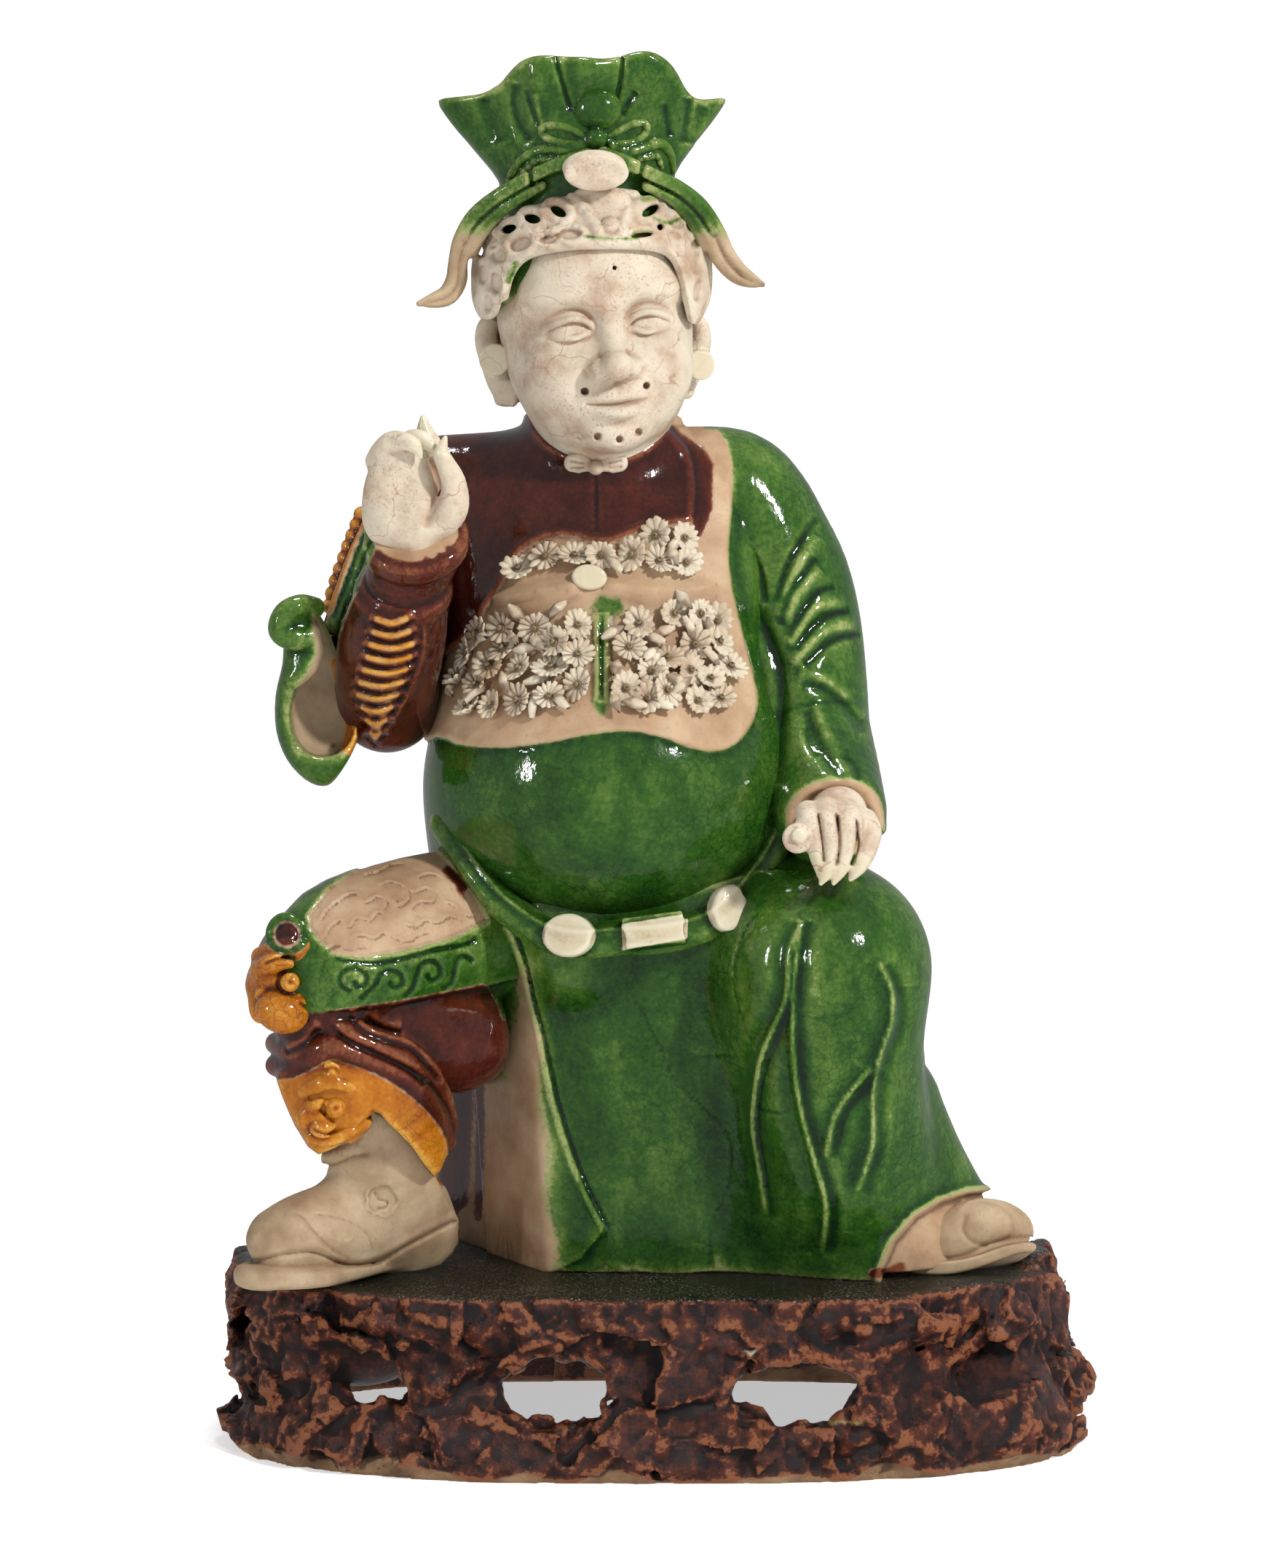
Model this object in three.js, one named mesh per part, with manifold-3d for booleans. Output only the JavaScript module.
import * as THREE from "three";
import { mergeVertices } from "three/addons/utils/BufferGeometryUtils.js";
import Module from "manifold-3d";

// A seated deity of glazed biscuit porcelain, on a pierced rockwork plinth of its own.
// Millimetres, +Z up. The figure faces -Y, and the origin is under the middle of the plinth.
// Left and right are the viewer's.

const wasm = await Module();
wasm.setup();

// Driving sizes of the plinth
const PLINTH_HALF_LENGTH = 156;
const PLINTH_HALF_DEPTH = 86;
const PLINTH_HEIGHT = 65;
const PLINTH_WALL = 14;
const PLINTH_SLAB = 13;
const PLINTH_SQUARENESS = 2.8;

// Driving sizes of the figure
const JOINT_GAP = 0.3;
const FIGURE_FOOT = PLINTH_HEIGHT + JOINT_GAP;
const HEAD_BASE = new THREE.Vector3(-20, -12, 362);
const HEAD_LEAN = THREE.MathUtils.degToRad(-5);
const HEAD_TURN = THREE.MathUtils.degToRad(9);
const HEAD_RADII = [32, 36, 46];
const HEAD_CENTRE = [0, -6, 42];
const FLORET_RADIUS = 6;
const COAT_THICKNESS = 2.6;
const EARRING_RADIUS = 5.4;
const BELT_WIDTH = 11;

const GLAZE_GREEN = new THREE.MeshStandardMaterial({ color: 0x2f6b1f, roughness: 0.18 });
const GLAZE_BROWN = new THREE.MeshStandardMaterial({ color: 0x4a1d10, roughness: 0.3 });

// A closed three.js geometry as a solid, whichever way round its faces were mapped.
function solid(geometry) {
  const bare = geometry.clone();
  bare.deleteAttribute("normal");
  bare.deleteAttribute("uv");
  const merged = mergeVertices(bare, 1e-4);
  const index = merged.index.array;
  const faces = [];
  for (let i = 0; i < index.length; i += 3) {
    const [a, b, c] = [index[i], index[i + 1], index[i + 2]];
    if (a !== b && b !== c && c !== a) faces.push(a, b, c);
  }
  const made = (triVerts) =>
    new wasm.Manifold(
      new wasm.Mesh({
        numProp: 3,
        vertProperties: new Float32Array(merged.attributes.position.array),
        triVerts: new Uint32Array(triVerts),
      }),
    );
  const shape = made(faces);
  return shape.volume() > 0 ? shape : made(faces.reverse());
}

function join(solids) {
  return solids.reduce((whole, next) => whole.add(next));
}

function geometryOf(shape) {
  const mesh = shape.getMesh();
  const geometry = new THREE.BufferGeometry();
  geometry.setAttribute("position", new THREE.BufferAttribute(mesh.vertProperties, 3));
  geometry.setIndex(new THREE.BufferAttribute(mesh.triVerts, 1));
  geometry.computeVertexNormals();
  return geometry;
}

// Moves every vertex of a geometry by a function that changes the point it is given.
function bend(geometry, move) {
  const position = geometry.attributes.position;
  const point = new THREE.Vector3();
  for (let i = 0; i < position.count; i++) {
    point.fromBufferAttribute(position, i);
    move(point);
    position.setXYZ(i, point.x, point.y, point.z);
  }
  return geometry;
}

// An ellipsoid, its poles up and down.
function blob([x, y, z], [a, b, c], sides = 8, rings = 6) {
  const ball = new THREE.SphereGeometry(1, sides, rings).rotateX(Math.PI / 2);
  return ball.scale(a, b, c).translate(x, y, z);
}

// A cosine or sine bent towards a square plan as the exponent grows above 2.
function squared(value, exponent) {
  return Math.sign(value) * Math.abs(value) ** (2 / exponent);
}

// Reads a list of equal-length rows as one smooth curve, at t from 0 to 1.
function along(rows, t) {
  const place = t * (rows.length - 1);
  const k = Math.min(Math.floor(place), rows.length - 2);
  const row = (i) => rows[Math.min(Math.max(i, 0), rows.length - 1)];
  const f = place - k;
  return rows[0].map((_, j) => {
    const [a, b, c, d] = [row(k - 1)[j], row(k)[j], row(k + 1)[j], row(k + 2)[j]];
    const slope = (c - a) / 2;
    const next = (d - b) / 2;
    const bulge = 2 * b - 2 * c + slope + next;
    return b + f * (slope + f * (3 * (c - b) - 2 * slope - next + f * bulge));
  });
}

// A standing body through level sections, each [height, x, y, half width, half depth, squareness].
function column(sections, sides, rows, shape = () => {}) {
  const drum = new THREE.CylinderGeometry(1, 1, 1, sides, rows).rotateX(Math.PI / 2);
  return bend(drum, (p) => {
    const t = p.z + 0.5;
    const [height, x, y, a, b, exponent] = along(sections, t);
    const radius = Math.hypot(p.x, p.y);
    const angle = Math.atan2(p.y, p.x);
    p.x = x + radius * a * squared(Math.cos(angle), exponent);
    p.y = y + radius * b * squared(Math.sin(angle), exponent);
    p.z = height;
    shape(p, angle, t, radius);
  });
}

// A round-ended limb along a line of stations, each [x, y, z, half width, half thickness].
// The width lies square to the limb and to the direction of the thickness.
function limb(stations, sides = 6, rows = 4, thicknessTowards = [0, -1, 0], caps = 1) {
  const straight = 1;
  const body = new THREE.CapsuleGeometry(1, straight, caps, sides, rows).rotateX(Math.PI / 2);
  const forward = new THREE.Vector3(...thicknessTowards);
  const step = 0.02;
  const pointAt = (t) => new THREE.Vector3(...along(stations, t).slice(0, 3));
  return bend(body, (p) => {
    const t = THREE.MathUtils.clamp(p.z / straight + 0.5, 0, 1);
    const beyond = p.z - THREE.MathUtils.clamp(p.z, -straight / 2, straight / 2);
    const [, , , wide, thick] = along(stations, t);
    const near = pointAt(Math.max(t - step, 0));
    const tangent = pointAt(Math.min(t + step, 1)).sub(near).normalize();
    const side = new THREE.Vector3().crossVectors(tangent, forward).normalize();
    const front = new THREE.Vector3().crossVectors(side, tangent);
    const [u, v] = [p.x, p.y];
    p.copy(pointAt(t)).addScaledVector(tangent, beyond * Math.min(wide, thick));
    p.addScaledVector(side, u * wide).addScaledVector(front, v * thick);
  });
}

function roundLimb(stations, sides, rows, caps = 1) {
  return limb(stations.map(([x, y, z, r]) => [x, y, z, r, r]), sides, rows, [0, -1, 0], caps);
}

// A disc facing the viewer, tipped about X and turned about Z.
function disc([x, y, z], [a, c], thickness, tip = 0, turn = 0, sides = 9) {
  const coin = new THREE.CylinderGeometry(1, 1, thickness, sides).scale(a, 1, c);
  return coin.rotateX(tip).rotateZ(turn).translate(x, y, z);
}

// A bell curve of height 1 over x and z, for hollows and swellings of a surface.
function swell(x, z, [cx, cz, sx, sz]) {
  return Math.exp(-(((x - cx) / sx) ** 2) - ((z - cz) / sz) ** 2);
}

// Body
const TORSO = [
  [186, -12, 8, 64, 52, 2],
  [212, -15, 3, 68.5, 62, 2],
  [238, -16.5, -3, 67.5, 70, 2],
  [264, -16.5, -2, 63.5, 66, 2],
  [290, -16, 1, 59.5, 57, 2],
  [318, -15, 4, 58, 48, 2.2],
  [340, -17, 5, 56, 38, 2.2],
  [354, -19, 3, 42, 29, 2],
  [364, -20, -2, 25, 24, 2],
];

// How far forward the front of the torso lies at a place seen from the front.
function torsoFront(x, z) {
  let [low, high] = [0, 1];
  while (high - low > 1e-3) {
    const middle = (low + high) / 2;
    if (along(TORSO, middle)[0] < z) low = middle;
    else high = middle;
  }
  const [, cx, cy, a, b] = along(TORSO, low);
  const across = THREE.MathUtils.clamp((x - cx) / a, -0.97, 0.97);
  return cy - b * Math.sqrt(1 - across ** 2);
}

function torso() {
  const belly = blob([-17, -14, 240], [64, 61.5, 52], 12, 8);
  const shoulders = roundLimb([[-76, 5, 341, 19], [-19, 6, 341, 22], [36, 4, 336, 24]], 8, 3);
  return [column(TORSO, 16, 7), belly, shoulders].map(solid);
}

// The armoured surcoat, a layer over the chest with a wavy lower edge.
function surcoat() {
  const low = 262;
  const high = 352;
  const wave = 7;
  const layer = TORSO.filter(([z]) => z >= low && z <= high + 2).map(
    ([z, x, y, a, b, n]) => [z, x - 4, y, a - 2 + COAT_THICKNESS - 2, b + COAT_THICKNESS, n],
  );
  const coat = column(layer, 16, 2, (p, angle, t) => {
    const fromFront = (p.x - layer[0][1]) / layer[0][3];
    p.z += (1 - t) * (wave * Math.cos(fromFront * Math.PI * 1.6) - 4);
  });
  return [solid(coat)];
}

// One flower of the armour: a low cone whose rim goes in and out in petals.
function floret(x, z, petals = 4) {
  const rim = 0.72;
  const height = 3.4;
  const sides = petals * 2;
  const cone = new THREE.ConeGeometry(FLORET_RADIUS, height, sides);
  let reach = bend(cone, (p) => {
    const angle = Math.atan2(p.x, p.z);
    const notch = Math.cos(angle * petals) > 0 ? 1 : rim;
    p.x *= notch;
    p.z *= notch;
  });
  const lean = Math.atan2(torsoFront(x + 1, z) - torsoFront(x - 1, z), 2);
  reach = reach.rotateX(Math.PI / 2).rotateZ(lean);
  return solid(reach.translate(x, torsoFront(x, z) - COAT_THICKNESS - 0.6, z));
}

function flowerField(xFrom, xTo, zFrom, zTo, columns, rows) {
  const flowers = [];
  for (let i = 0; i < columns; i++) {
    for (let j = 0; j < rows; j++) {
      const stagger = j % 2 ? 0.25 : 0;
      const x = THREE.MathUtils.lerp(xFrom, xTo, Math.min((i + stagger) / (columns - 1), 1));
      const z = THREE.MathUtils.lerp(zFrom, zTo, rows > 1 ? j / (rows - 1) : 0);
      flowers.push(floret(x, z));
    }
  }
  return flowers;
}

function armourFlowers() {
  const strip = new THREE.BoxGeometry(6, 5, 36).translate(-21.5, torsoFront(-21, 276) - 2.6, 277);
  return [
    ...flowerField(-62, -34, 289, 262, 3, 3),
    ...flowerField(-10, 20, 290, 263, 3, 3),
    ...flowerField(-46, 8, 319, 319, 4, 1),
    solid(strip),
    solid(disc([-24, torsoFront(-24, 308) - 3, 308], [6, 4.6], 5, -0.2)),
  ];
}

// The belt under the belly, and its three plaques.
function belt() {
  const hang = 26;
  const halfWidth = 62;
  const place = (x) => {
    const across = (x + 14) / halfWidth;
    return [x, -17 - 52 * Math.sqrt(Math.max(1 - across ** 2, 0)), 194 + hang * across ** 2];
  };
  const stations = [];
  for (let k = -4; k <= 4; k++) {
    const x = -14 + (halfWidth * 0.98 * k) / 4;
    stations.push([...place(x), BELT_WIDTH / 2, 4]);
  }
  const band = limb(stations, 5, 8, [0, -1, -0.35]);
  const forward = 5.5;
  const plaque = (x, radii, turn) => {
    const [px, py, pz] = place(x);
    return disc([px, py - forward + 1, pz], radii, 7, -0.3, turn);
  };
  const [bx, by, bz] = place(-2);
  const buckle = new THREE.BoxGeometry(22, 8, 10).rotateX(-0.3).rotateY(-0.08);
  return [
    band,
    plaque(-32, [8.6, 8], -0.25),
    plaque(24, [6.3, 8], 0.6),
    buckle.translate(bx, by - forward + 1, bz),
  ].map(solid);
}

// The robe's skirt, down to the plinth. Its left side is a flat slanting face.
function skirt() {
  const sections = [
    [FIGURE_FOOT, 22, 17, 94, 55, 2.9],
    [88, 18, 16, 92, 55, 2.9],
    [118, 15, 15, 84, 55, 2.9],
    [150, 13, 12, 82, 56, 2.6],
    [180, 6, 6, 80, 58, 2.4],
    [206, -8, 4, 70, 58, 2.2],
  ];
  const sideLine = { x: -41, y: -50, slope: -0.37 };
  const folds = (p, angle, t, radius) => {
    if (radius > 0.9 && p.y < 0) {
      const fold = 2.4 * Math.sin(p.x / 6.2 + 1.5 * Math.sin(p.z / 38)) * (1 - t);
      p.y += p.x > 25 ? fold : fold * 0.3;
    }
    p.x = Math.max(p.x, sideLine.x + sideLine.slope * (p.y - sideLine.y) - 26 * t ** 2);
  };
  return solid(column(sections, 24, 4, folds));
}

// The right leg under the robe: its thigh, its knee and the cloth that falls to the foot.
function robedLeg() {
  const thigh = roundLimb([[20, 6, 186, 32], [45, -24, 186, 33], [61, -48, 180, 34]], 10, 2, 2);
  const shin = roundLimb(
    [[64, -50, 176, 33], [67, -46, 146, 32], [70, -34, 112, 34], [76, -20, FIGURE_FOOT + 34, 36]],
    10,
    4,
  );
  const fold = (x, lean) =>
    limb([[x, -80, 180, 2, 4], [x + lean, -73, 130, 2.4, 5], [x + lean * 0.6, -58, 82, 2, 6]], 4, 3);
  return [thigh, shin, fold(48, -7), fold(57, 4), fold(84, -6)].map(solid);
}

function lapel() {
  const outline = new THREE.Shape([
    new THREE.Vector2(-62, 206),
    new THREE.Vector2(-50, 206),
    new THREE.Vector2(-34, 130),
    new THREE.Vector2(-18, 86),
    new THREE.Vector2(-40, FIGURE_FOOT + 6),
    new THREE.Vector2(-46, 150),
  ]);
  const panel = new THREE.ExtrudeGeometry(outline, { depth: 8, bevelEnabled: false });
  return solid(panel.rotateX(Math.PI / 2).translate(0, -46, 0));
}

// The left leg: thigh under its armour flap, trousers, greave and beast masks.
function armouredLeg() {
  const thigh = roundLimb([[-46, 2, 186, 27], [-78, -26, 186, 29], [-106, -52, 182, 29]], 9, 3, 2);
  const trousers = roundLimb([[-52, -14, 160, 19], [-72, -30, 160, 21], [-96, -44, 160, 20]], 8, 2);
  const shin = roundLimb(
    [[-114, -58, 174, 22], [-108, -54, 150, 23], [-100, -46, 128, 20], [-96, -38, 108, 16]],
    9,
    3,
  );
  const cuff = limb([[-122, -62, 140, 12, 9], [-98, -66, 138, 12, 10], [-76, -48, 122, 10, 9]], 6, 4);
  const mask = (x, y, z, size) => [
    blob([x - 2, y - 2, z - 7], [size, size * 0.9, size * 0.8], 7, 5),
    blob([x - size * 0.7, y, z + 3], [size * 0.5, size * 0.6, size * 0.45], 5, 4),
    blob([x + size * 0.7, y - 1, z + 3], [size * 0.5, size * 0.6, size * 0.45], 5, 4),
    blob([x, y + 3, z + size], [size * 1.1, size * 0.8, size * 0.5], 6, 4),
  ];
  return [
    thigh,
    trousers,
    shin,
    cuff,
    ...mask(-127, -74, 176, 12),
    ...mask(-113, -70, 136, 11),
  ].map(solid);
}

// A boot: stations of the upper from the ankle or heel to the toe, and the sole's plan.
function boot(upper, heel, toe, halfWidth, lift) {
  const thick = 9;
  const run = new THREE.Vector3().subVectors(toe, heel);
  const turn = Math.atan2(run.y, run.x);
  const soleLength = run.length();
  const middle = new THREE.Vector3().addVectors(heel, toe).multiplyScalar(0.5);
  const sole = new THREE.CylinderGeometry(1, 0.95, thick, 12, 1).rotateX(Math.PI / 2);
  const pad = bend(sole, (p) => {
    const forward = p.x;
    p.x *= soleLength / 2 + halfWidth * 0.35;
    p.y *= halfWidth;
    p.z += thick / 2 + lift * Math.max(-forward, 0) + 4 * Math.max(forward - 0.4, 0);
  });
  pad.rotateZ(turn).translate(middle.x, middle.y, FIGURE_FOOT);
  return [solid(roundLimb(upper, 8, 3)), solid(pad)];
}

function boots() {
  const left = boot(
    [[-96, -36, 112, 15], [-92, -30, 96, 18], [-106, -46, 86, 16], [-130, -62, 85, 12.5]],
    new THREE.Vector3(-84, -12, 0),
    new THREE.Vector3(-128, -62, 0),
    17,
    4,
  );
  const right = boot(
    [[84, -36, 80, 13], [104, -36, 84, 12], [122, -34, 86, 10.5]],
    new THREE.Vector3(86, -40, 0),
    new THREE.Vector3(124, -32, 0),
    14,
    0,
  );
  return [...left, ...right];
}

// The arm raised on the left: sleeve, ribbed bracer, cuffs, hand and the hanging sleeve end.
function raisedArm() {
  const upper = roundLimb(
    [[-68, 6, 338, 24], [-86, 3, 318, 24], [-99, -4, 292, 21], [-100, -20, 270, 17]],
    9,
    4,
  );
  const fore = roundLimb([[-99, -20, 268, 16], [-93, -42, 288, 17], [-86, -62, 312, 14]], 9, 3);
  const ribs = [0, 1, 2, 3].map((k) => {
    const [x, y, z] = [-98 + k * 2.6, -44 - k * 5.6, 267 + k * 9.6];
    return limb([[x - 9, y + 3, z, 3, 4], [x, y - 6, z - 3, 3, 4], [x + 9, y + 3, z, 3, 4]], 4, 2);
  });
  const scales = limb([[-96, 0, 334, 8, 5], [-110, -2, 314, 8, 5], [-114, -6, 288, 7, 5]], 5, 3);
  const cuff = new THREE.CylinderGeometry(18, 17, 7, 10).rotateX(Math.PI / 2 - 0.35);
  const ring = new THREE.CylinderGeometry(17, 16.5, 6, 10).rotateX(Math.PI / 2 - 0.5);
  return [
    upper,
    fore,
    ...ribs,
    scales,
    cuff.translate(-84, -64, 322),
    ring.translate(-87, -58, 306),
  ].map(solid);
}

function sleeveEnd() {
  const outer = blob([-122, -30, 270], [16, 17, 34], 9, 6);
  const inner = blob([-123, -46, 272], [11, 17, 27], 7, 5);
  const curl = limb([[-116, -30, 292, 8, 6], [-122, -34, 300, 8, 6], [-130, -38, 297, 7, 6]], 5, 3);
  return solid(outer).subtract(solid(inner)).add(solid(curl));
}

// One finger with its long pointed nail.
function finger(points, radius) {
  const last = points.length - 1;
  return roundLimb(points.map((p, k) => [...p, k === last ? radius * 0.3 : radius]), 5, 2);
}

function raisedHand() {
  const palm = blob([-86, -70, 343], [16.5, 8, 22], 10, 6);
  const wrist = roundLimb([[-84, -62, 318, 13], [-85, -68, 330, 13]], 8, 1);
  return [
    palm,
    wrist,
    finger([[-70, -68, 334], [-68, -76, 350], [-74, -80, 360], [-73, -82, 370]], 4.5),
    finger([[-80, -66, 352], [-83, -62, 364], [-83, -64, 374], [-83, -66, 381]], 4),
    finger([[-88, -70, 362], [-84, -78, 367], [-79, -82, 363], [-76, -84, 357]], 4),
    finger([[-96, -70, 360], [-93, -78, 365], [-87, -82, 363], [-83, -84, 357]], 4),
    finger([[-100, -70, 356], [-100, -74, 363], [-96, -78, 365]], 4),
  ].map(solid);
}

// The arm at rest on the right: sleeve, and the hand on the knee.
function restingArm() {
  const sleeve = roundLimb(
    [[26, 6, 332, 26], [38, 4, 312, 27], [48, 0, 282, 26], [55, -8, 254, 26], [62, -42, 238, 22]],
    9,
    4,
  );
  const mouth = roundLimb([[62, -34, 238, 21], [65, -54, 231, 19]], 9, 1);
  const folds = [0, 1, 2].map((k) => {
    const z = 304 - k * 15;
    return limb([[36, -22, z - 8, 2, 3], [49, -25, z, 3, 4], [61, -16, z + 5, 2, 3]], 4, 2);
  });
  const palm = blob([64, -66, 231], [14, 13, 8.5], 8, 5);
  const fingers = [0, 1, 2, 3].map((k) => {
    const x = 55 + 6.6 * k;
    return finger([[x, -68, 234], [x - 1, -79, 231], [x - 1.5, -83, 222], [x - 3, -83, 213]], 4.2);
  });
  const thumb = roundLimb([[56, -66, 226, 5], [48, -78, 227, 5]], 6, 1);
  return [sleeve, mouth, ...folds, palm, ...fingers, thumb].map(solid);
}

// Head and headdress, made upright about the head's own base and then leant and turned.
function faceRelief(p) {
  const [cx, cy, cz] = HEAD_CENTRE;
  if (p.y > cy) return;
  const thirds = { brow: 48, eye: 42, nose: 24, mouth: 13, chin: -2 };
  const pairs = [
    [12, thirds.brow, 9, 4, 2.2],
    [12, thirds.eye, 7, 4, -2.6],
    [12, thirds.eye, 4.5, 2.2, 2],
    [17, thirds.nose + 2, 9, 9, 1.6],
  ];
  const singles = [
    [0, thirds.eye - 4, 4, 10, 4],
    [0, thirds.nose + 2, 5.5, 4, 6],
    [0, thirds.mouth + 2, 7, 2.2, 2.4],
    [0, thirds.mouth - 3, 6, 2.2, 2.2],
    [0, thirds.chin + 4, 9, 6, 2.6],
  ];
  let push = 0;
  for (const [x, z, sx, sz, depth] of pairs) {
    push += depth * (swell(p.x, p.z, [x, z, sx, sz]) + swell(p.x, p.z, [-x, z, sx, sz]));
  }
  for (const [x, z, sx, sz, depth] of singles) push += depth * swell(p.x, p.z, [x, z, sx, sz]);
  p.y -= push;
}

function head() {
  const skull = bend(blob(HEAD_CENTRE, HEAD_RADII, 16, 14), faceRelief);
  const ears = [-1, 1].flatMap((side) => [
    limb([[side * 35, 0, 50, 6, 7], [side * 36, -1, 36, 6, 7], [side * 31, -2, 18, 5, 6]], 5, 2),
    disc([side * 36, -9, 27], [EARRING_RADIUS, EARRING_RADIUS], 5, 0, 0, 7),
  ]);
  const neck = roundLimb([[0, 4, -10, 21], [0, 2, 6, 22]], 10, 1);
  return [skull, neck, ...ears];
}

function headdress() {
  const cap = blob([0, 0, 57], [37, 38, 37], 12, 8);
  const crownSections = [
    [80, 0, 1, 31, 28, 2],
    [94, 0, -1, 31, 25, 1.9],
    [108, 0, -2, 39, 24, 1.7],
    [121, 0, -3, 51, 24, 1.55],
  ];
  const lobes = 3;
  const crown = column(crownSections, 22, 3, (p, angle, t, radius) => {
    const across = Math.max(1 - (p.x / 34) ** 2, 0);
    const scallop = 0.86 + 0.14 * Math.cos((p.x / 34) * Math.PI * lobes);
    p.z += t ** 2 * (radius < 0.5 ? 2 : 15 * across ** 0.5 * scallop);
    p.y -= p.y < 0 ? 5 * t * across : 0;
  });
  const knob = blob([1, -31, 116], [8.5, 7, 9.5], 7, 5);
  const bow = limb([[-19, -24, 108, 3, 3], [0, -27, 105, 4, 4], [19, -24, 108, 3, 3]], 5, 4);
  const tails = [-1, 1].map((side) =>
    limb(
      [
        [side * 14, -24, 92, 5, 4],
        [side * 32, -16, 81, 6, 5],
        [side * 42, -11, 68, 7, 5],
        [side * 48, -10, 57, 5, 4],
        [side * 60, -10, 52, 2, 2],
      ],
      5,
      5,
    ),
  );
  const boss = disc([2, -31, 93], [11, 6.5], 10, 0.35);
  return [cap, crown, knob, bow, ...tails, boss];
}

// The pierced band over the forehead, as a scalloped roll with a boss in the middle.
function diadem() {
  const stations = [];
  const reach = 1.75;
  const steps = 10;
  for (let k = 0; k <= steps; k++) {
    const angle = reach * ((2 * k) / steps - 1);
    const lobe = k % 2 ? 1 : 0;
    const drop = 26 * (angle / reach) ** 2;
    const [a, b] = [39 + lobe, 37 + lobe];
    const z = 76 - drop;
    const shrink = Math.sqrt(Math.max(1 - ((z - 46) / 50) ** 2, 0.2));
    const y = -4 - b * shrink * Math.cos(angle);
    stations.push([a * shrink * Math.sin(angle), y, z, 7 + lobe * 2.5, 3 + lobe]);
  }
  const band = limb(stations, 5, steps, [0, 0.2, 1]);
  return [band, blob([1, -34, 78], [9, 6, 8], 7, 4)];
}

function headAndHat() {
  const place = new THREE.Matrix4()
    .makeRotationZ(HEAD_TURN)
    .multiply(new THREE.Matrix4().makeRotationY(HEAD_LEAN))
    .setPosition(HEAD_BASE);
  return [...head(), ...headdress(), ...diadem()].map((g) => solid(g.applyMatrix4(place)));
}

function seatedDeity() {
  const whole = join([
    ...torso(),
    ...surcoat(),
    ...armourFlowers(),
    ...belt(),
    skirt(),
    ...robedLeg(),
    lapel(),
    ...armouredLeg(),
    ...boots(),
    ...raisedArm(),
    sleeveEnd(),
    ...raisedHand(),
    ...restingArm(),
    ...headAndHat(),
  ]);
  const below = new THREE.BoxGeometry(400, 300, 40).translate(0, 0, FIGURE_FOOT - 20);
  return whole.subtract(solid(below));
}

// Plinth: an oval wall of rock with a slab on top, hollow and open below, pierced by holes.
function rockworkPlinth() {
  const [a, b, n] = [PLINTH_HALF_LENGTH, PLINTH_HALF_DEPTH, PLINTH_SQUARENESS];
  const outerSections = [
    [0, -1, 0, a - 2, b - 1, n],
    [18, -1, 0, a + 1, b + 1, n],
    [40, -4, 0, a - 7, b - 3, n],
    [54, -6, 0, a - 5, b, n],
    [PLINTH_HEIGHT, -6, 0, a - 10, b - 4, n],
  ];
  const crag = (p, angle, t, radius) => {
    if (radius < 0.9) return;
    const chip = Math.sin(angle * 13 + t * 5) + 0.8 * Math.sin(angle * 21 - t * 9 + 2);
    const out = 2.2 * chip * Math.sin(Math.PI * Math.min(t + 0.15, 1));
    p.x += out * Math.cos(angle);
    p.y += out * Math.sin(angle);
  };
  const outer = column(outerSections, 42, 5, crag);
  const inner = column(
    [
      [-5, 0, 0, a - PLINTH_WALL, b - PLINTH_WALL, n],
      [PLINTH_HEIGHT - PLINTH_SLAB, 0, 0, a - PLINTH_WALL - 4, b - PLINTH_WALL - 3, n],
    ],
    20,
    1,
  );
  const holes = [];
  const pierce = (x, z, halfWidth, halfHeight, back) => {
    const y = back ? PLINTH_HALF_DEPTH - 7 : -PLINTH_HALF_DEPTH + 7;
    holes.push(blob([x, y, z], [halfWidth, 34, halfHeight], 7, 5));
  };
  pierce(-103, 34, 14, 15, false);
  pierce(-31, 32, 20, 15, false);
  pierce(52, 32, 24, 14, false);
  pierce(118, 36, 15, 16, false);
  for (const x of [-84, -16, 56]) pierce(x, 32, 22, 14, true);
  for (const side of [-1, 1]) holes.push(blob([side * (a - 8), 8, 32], [30, 20, 14], 7, 5));
  return holes.reduce((rock, hole) => rock.subtract(solid(hole)), solid(outer).subtract(solid(inner)));
}

function mesh(name, shape, material) {
  const made = new THREE.Mesh(geometryOf(shape), material);
  made.name = name;
  return made;
}

const figureOnPlinth = new THREE.Group();
figureOnPlinth.add(mesh("seated_deity", seatedDeity(), GLAZE_GREEN));
figureOnPlinth.add(mesh("rockwork_plinth", rockworkPlinth(), GLAZE_BROWN));
export default figureOnPlinth;
